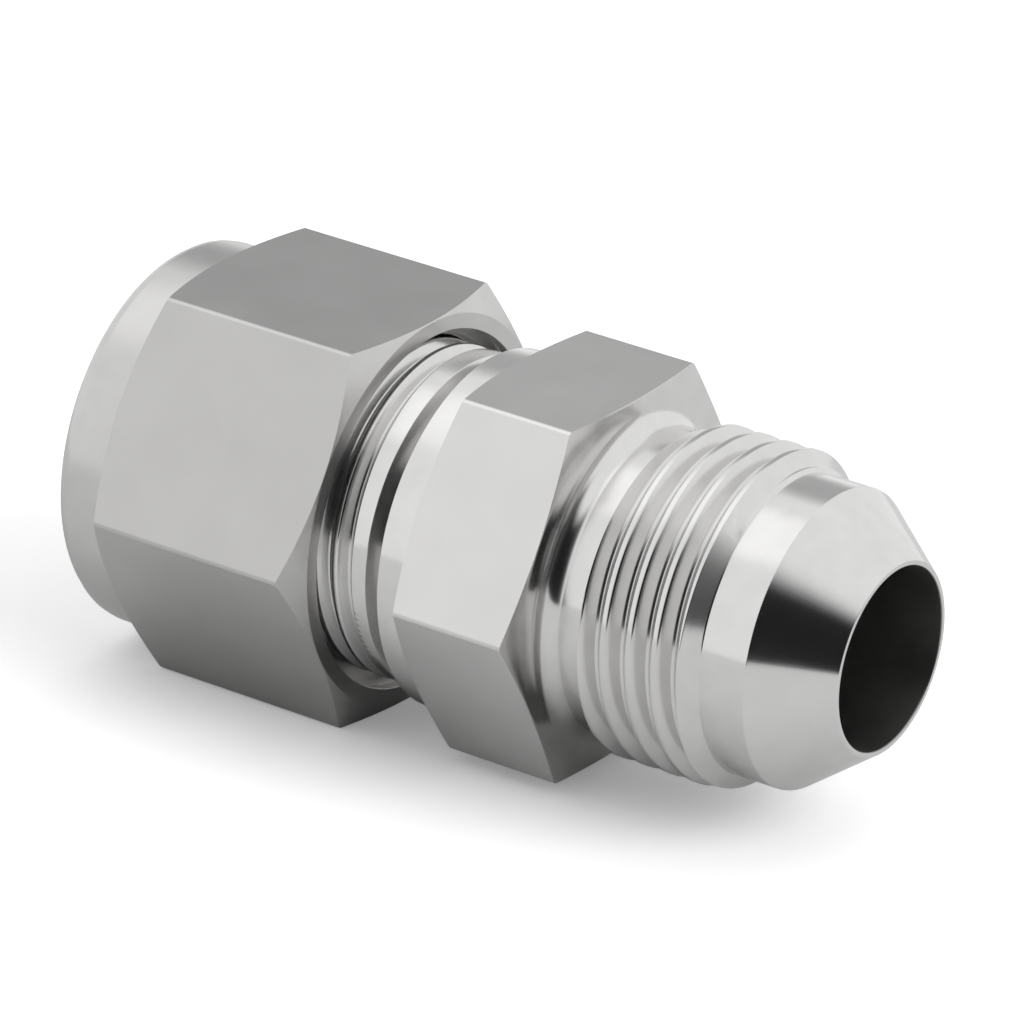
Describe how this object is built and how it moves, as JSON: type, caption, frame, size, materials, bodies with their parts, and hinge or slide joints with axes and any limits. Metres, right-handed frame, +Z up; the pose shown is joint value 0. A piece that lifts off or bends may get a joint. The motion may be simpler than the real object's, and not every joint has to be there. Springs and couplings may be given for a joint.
{
  "type": "tube union",
  "caption": "Stainless steel tube union. Its hexagon body has a threaded flare cone at the front, and the nut at the rear drives compression ferrules onto a tube.",
  "frame": {"origin": "on the surface that the nut's lower flat lies on, under the middle of the overall length and width", "axes": "+X along the tube axis towards the flare end, +Z up, through the upper flats of the nut and the body"},
  "size_m": [0.0468, 0.0256, 0.0222],
  "materials": {
    "body_steel": "stainless steel, bright turned surfaces and finely ground flats",
    "nut_steel": "stainless steel, satin",
    "front_ferrule_steel": "stainless steel, smooth turned",
    "back_ferrule_steel": "stainless steel, smooth turned"
  },
  "bodies": {
    "union_body": {"fitting_body": "body_steel"},
    "ferrules": {"front_ferrule": "front_ferrule_steel", "back_ferrule": "back_ferrule_steel"},
    "nut": {"nut": "nut_steel"}
  },
  "joints": [
    {"name": "ferrule_travel", "type": "slide", "parent": "union_body", "child": "ferrules", "axis": [-1, 0, 0], "range_m": [0, 0.007]},
    {"name": "nut_turn", "type": "hinge", "parent": "ferrules", "child": "nut", "pos_m": [0, 0, 0.01111], "axis": [-1, 0, 0], "range_deg": [0, 1980]}
  ],
  "couplings": [
    {"joint": "ferrule_travel", "follows": "nut_turn", "m_per_rad": 0.00020213}
  ]
}
